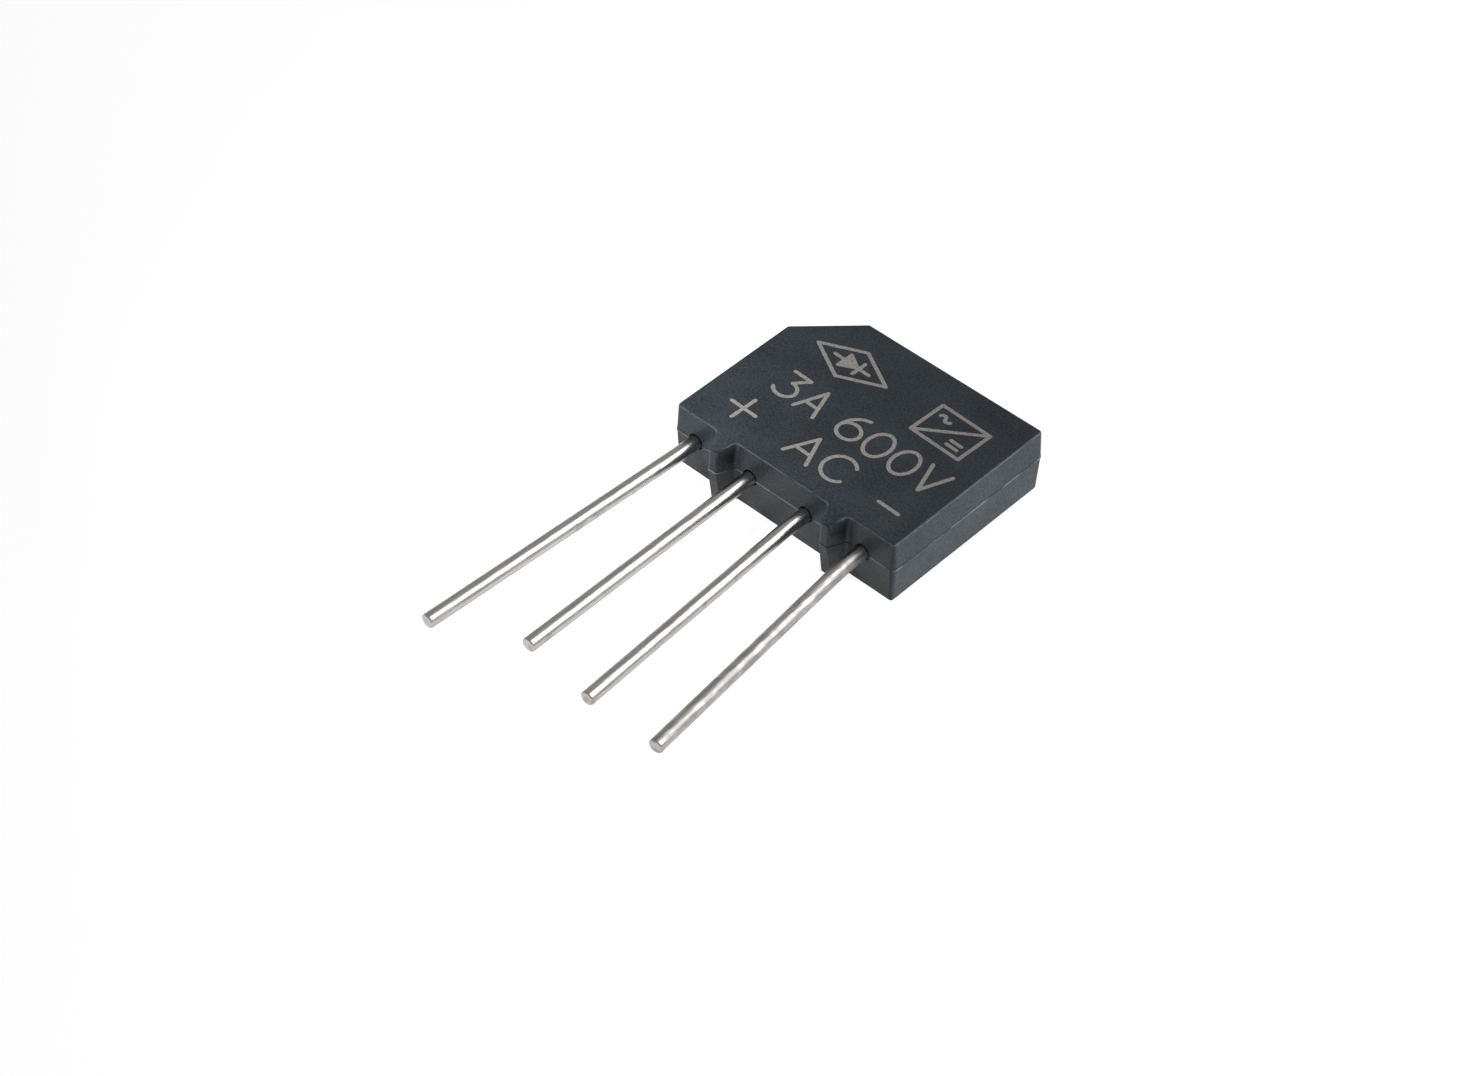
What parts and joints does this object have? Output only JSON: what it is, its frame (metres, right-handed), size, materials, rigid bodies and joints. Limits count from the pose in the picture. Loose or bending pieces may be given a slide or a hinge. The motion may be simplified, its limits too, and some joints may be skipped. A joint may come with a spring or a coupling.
{
  "type": "bridge rectifier",
  "caption": "Flat in-line bridge rectifier: black moulded body with a bevelled corner, standoff ribs on the lead face and round tinned wire leads, the plus lead longest.",
  "frame": {"origin": "middle of the back face of the moulded body", "axes": "+Z out of the marked face, -Y the way the leads point, -X towards the plus lead and the bevelled corner"},
  "size_m": [0.015, 0.0298, 0.004],
  "materials": {
    "moulding_compound": "matt, fine spark-eroded grain",
    "tinned_wire": "bright dipped tin on copper wire, slightly uneven",
    "silicon": "dark, lapped",
    "solder": "dull grey",
    "laser_mark": "light grey laser-scorched marking, matt"
  },
  "bodies": {
    "root": {"moulded_body": "moulding_compound", "lead_positive": "tinned_wire", "lead_ac_1": "tinned_wire", "lead_ac_2": "tinned_wire", "lead_negative": "tinned_wire", "die_positive_1": "silicon", "solder_positive_1_under": "solder", "solder_positive_1_over": "solder", "die_positive_2": "silicon", "solder_positive_2_under": "solder", "solder_positive_2_over": "solder", "die_negative_1": "silicon", "solder_negative_1_under": "solder", "solder_negative_1_over": "solder", "die_negative_2": "silicon", "solder_negative_2_under": "solder", "solder_negative_2_over": "solder"}
  },
  "joints": []
}
